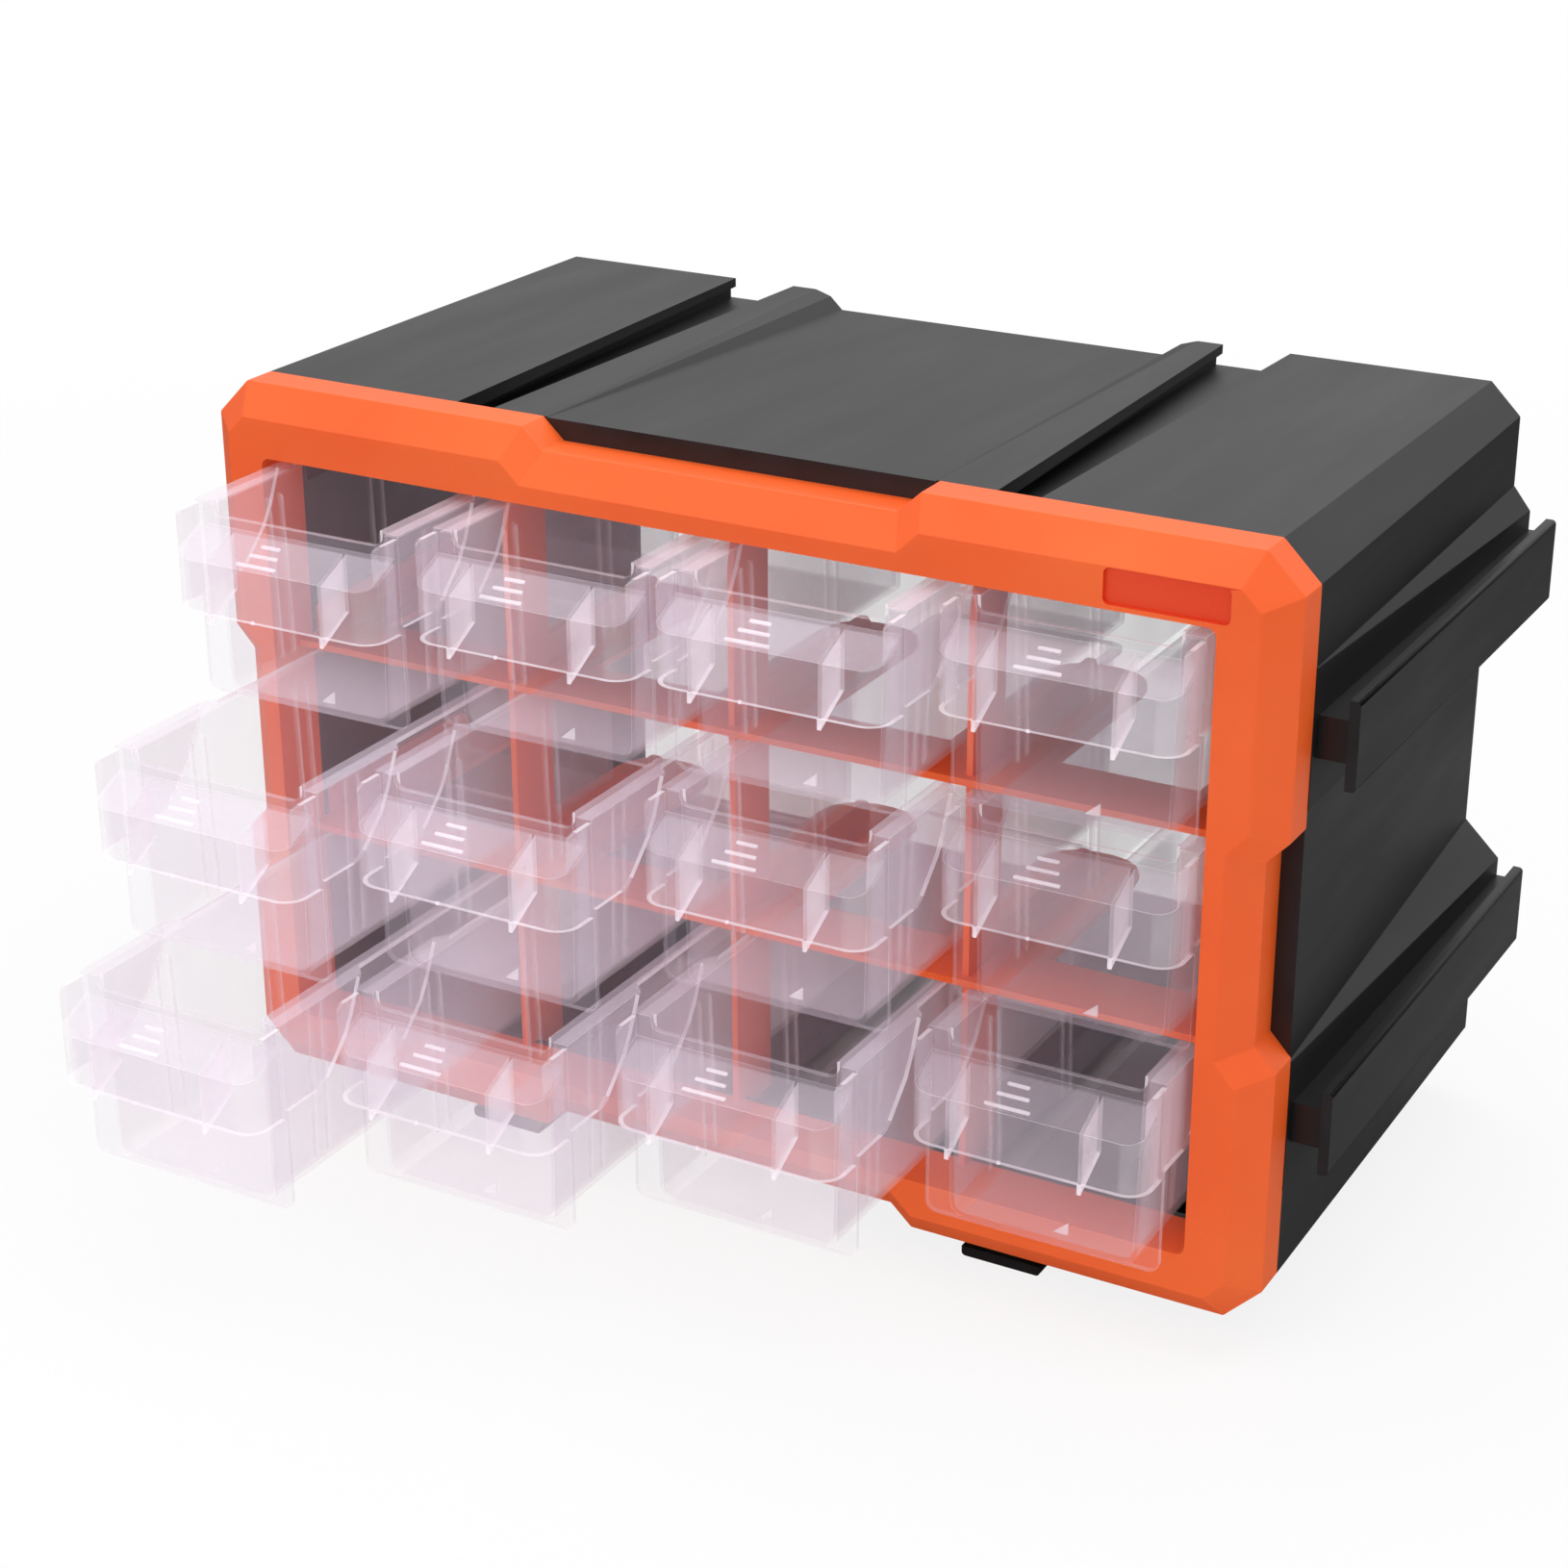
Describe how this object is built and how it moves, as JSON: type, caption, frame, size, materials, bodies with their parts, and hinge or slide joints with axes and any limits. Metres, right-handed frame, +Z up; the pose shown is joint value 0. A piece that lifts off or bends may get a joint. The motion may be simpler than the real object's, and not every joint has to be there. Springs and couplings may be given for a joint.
{
  "type": "compartment organizer box",
  "caption": "Desktop parts cabinet with a dark moulded housing, an orange front frame and rows of clear sliding bin drawers, with joining rails and channels for stacking.",
  "frame": {"origin": "centre of the bounding box's bottom face, on the surface that the bottom rails stand on, with the drawers pulled out in steps as stored", "axes": "+X to the right as seen from the front, +Y to the back, +Z up; the drawers pull out along -Y"},
  "size_m": [0.3938, 0.3328, 0.2622],
  "materials": {
    "black_plastic": "moulded, lightly textured",
    "orange_plastic": "moulded, satin",
    "clear_plastic": "clear moulded, slightly milky"
  },
  "bodies": {
    "cabinet": {"housing": "black_plastic", "channel_top_left": "black_plastic", "channel_top_right": "black_plastic", "channel_left_lower": "black_plastic", "channel_left_upper": "black_plastic", "front_frame": "orange_plastic", "shelf_lower": "orange_plastic", "shelf_upper": "orange_plastic", "post_left": "orange_plastic", "post_middle": "orange_plastic", "post_right": "orange_plastic"},
    "drawer_1_1": {"drawer_1_1": "clear_plastic"},
    "drawer_1_2": {"drawer_1_2": "clear_plastic"},
    "drawer_1_3": {"drawer_1_3": "clear_plastic"},
    "drawer_1_4": {"drawer_1_4": "clear_plastic"},
    "drawer_2_1": {"drawer_2_1": "clear_plastic"},
    "drawer_2_2": {"drawer_2_2": "clear_plastic"},
    "drawer_2_3": {"drawer_2_3": "clear_plastic"},
    "drawer_2_4": {"drawer_2_4": "clear_plastic"},
    "drawer_3_1": {"drawer_3_1": "clear_plastic"},
    "drawer_3_2": {"drawer_3_2": "clear_plastic"},
    "drawer_3_3": {"drawer_3_3": "clear_plastic"},
    "drawer_3_4": {"drawer_3_4": "clear_plastic"}
  },
  "joints": [
    {"name": "slide_1_1", "type": "slide", "parent": "cabinet", "child": "drawer_1_1", "axis": [0, -1, 0], "range_m": [-0.052, 0.098]},
    {"name": "slide_1_2", "type": "slide", "parent": "cabinet", "child": "drawer_1_2", "axis": [0, -1, 0], "range_m": [-0.0403, 0.1097]},
    {"name": "slide_1_3", "type": "slide", "parent": "cabinet", "child": "drawer_1_3", "axis": [0, -1, 0], "range_m": [-0.0363, 0.1137]},
    {"name": "slide_1_4", "type": "slide", "parent": "cabinet", "child": "drawer_1_4", "axis": [0, -1, 0], "range_m": [-0.0159, 0.1341]},
    {"name": "slide_2_1", "type": "slide", "parent": "cabinet", "child": "drawer_2_1", "axis": [0, -1, 0], "range_m": [-0.0995, 0.0505]},
    {"name": "slide_2_2", "type": "slide", "parent": "cabinet", "child": "drawer_2_2", "axis": [0, -1, 0], "range_m": [-0.0763, 0.0737]},
    {"name": "slide_2_3", "type": "slide", "parent": "cabinet", "child": "drawer_2_3", "axis": [0, -1, 0], "range_m": [-0.0452, 0.1048]},
    {"name": "slide_2_4", "type": "slide", "parent": "cabinet", "child": "drawer_2_4", "axis": [0, -1, 0], "range_m": [-0.012, 0.138]},
    {"name": "slide_3_1", "type": "slide", "parent": "cabinet", "child": "drawer_3_1", "axis": [0, -1, 0], "range_m": [-0.1252, 0.0248]},
    {"name": "slide_3_2", "type": "slide", "parent": "cabinet", "child": "drawer_3_2", "axis": [0, -1, 0], "range_m": [-0.0932, 0.0568]},
    {"name": "slide_3_3", "type": "slide", "parent": "cabinet", "child": "drawer_3_3", "axis": [0, -1, 0], "range_m": [-0.0646, 0.0854]},
    {"name": "slide_3_4", "type": "slide", "parent": "cabinet", "child": "drawer_3_4", "axis": [0, -1, 0], "range_m": [-0.0284, 0.1216]}
  ]
}
